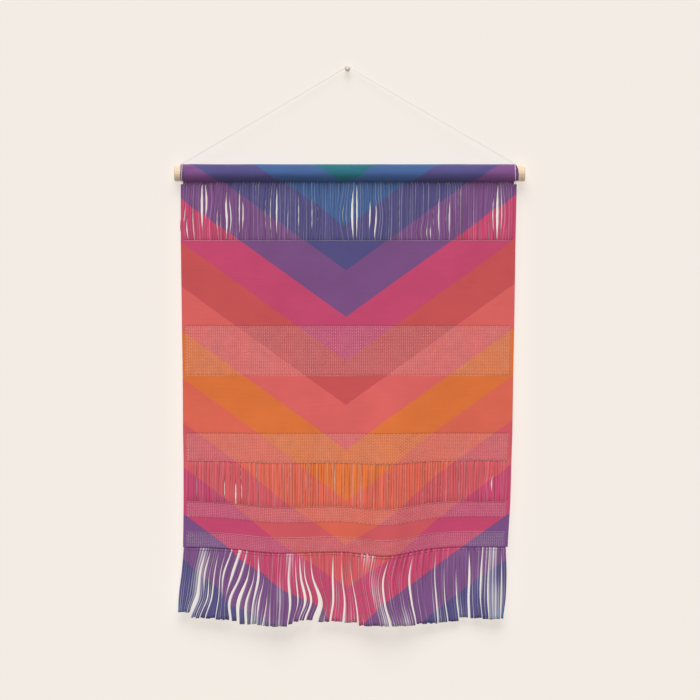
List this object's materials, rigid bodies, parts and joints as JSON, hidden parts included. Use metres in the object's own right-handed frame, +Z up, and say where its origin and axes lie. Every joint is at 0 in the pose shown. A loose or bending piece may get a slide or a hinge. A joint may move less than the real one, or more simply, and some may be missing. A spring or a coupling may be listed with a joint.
{
  "type": "textile wall hanging on a wooden rod",
  "caption": "Fringed textile wall hanging with open-warp and mesh bands, its top sewn as a sleeve round a wooden rod that hangs by a cord from a wall pin.",
  "frame": {"origin": "centre of the wall pin's flat back face, on the wall plane y = 0", "axes": "+Z up, +X along the rod to the right as seen from the front, +Y into the wall; the hanging is at negative Y"},
  "size_m": [0.4382, 0.0342, 0.7011],
  "materials": {
    "pale_wood": "plain, lightly sanded",
    "woven_cloth": "matte printed weave",
    "fringe_yarn": "matte loose yarn",
    "turned_wood": "smooth",
    "white_cord": "matte twisted cord"
  },
  "bodies": {
    "root": {"rod": "pale_wood", "cloth": "woven_cloth", "fringe": "fringe_yarn", "wall_pin": "turned_wood", "cord": "white_cord"}
  },
  "joints": []
}
